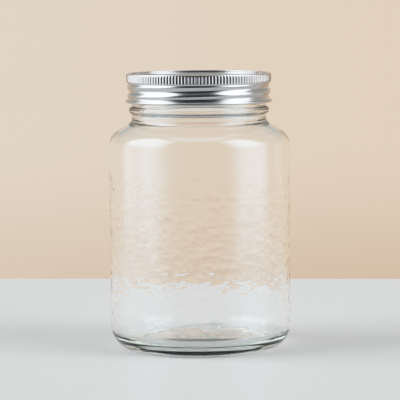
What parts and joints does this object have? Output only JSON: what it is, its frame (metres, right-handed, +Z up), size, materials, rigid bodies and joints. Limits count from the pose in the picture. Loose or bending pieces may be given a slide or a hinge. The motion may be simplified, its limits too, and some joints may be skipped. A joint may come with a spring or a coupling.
{
  "type": "preserving jar",
  "caption": "Clear glass preserving jar with a wide mouth, closed by a flat metal lid disc that a knurled screw band holds on the rim.",
  "frame": {"origin": "centre of the base, on the surface the jar stands on", "axes": "+Z up the jar's axis towards the lid; the jar is round, so X and Y are free"},
  "size_m": [0.112, 0.112, 0.169],
  "materials": {
    "clear_glass": "clear pressed glass with a faint green edge, gently rippled walls",
    "band_tin": "bright tinplate, fine rolling marks, glossy",
    "disc_tin": "bright tinplate, glossy"
  },
  "bodies": {
    "root": {"jar": "clear_glass", "screw_band": "band_tin", "lid_disc": "disc_tin"}
  },
  "joints": []
}
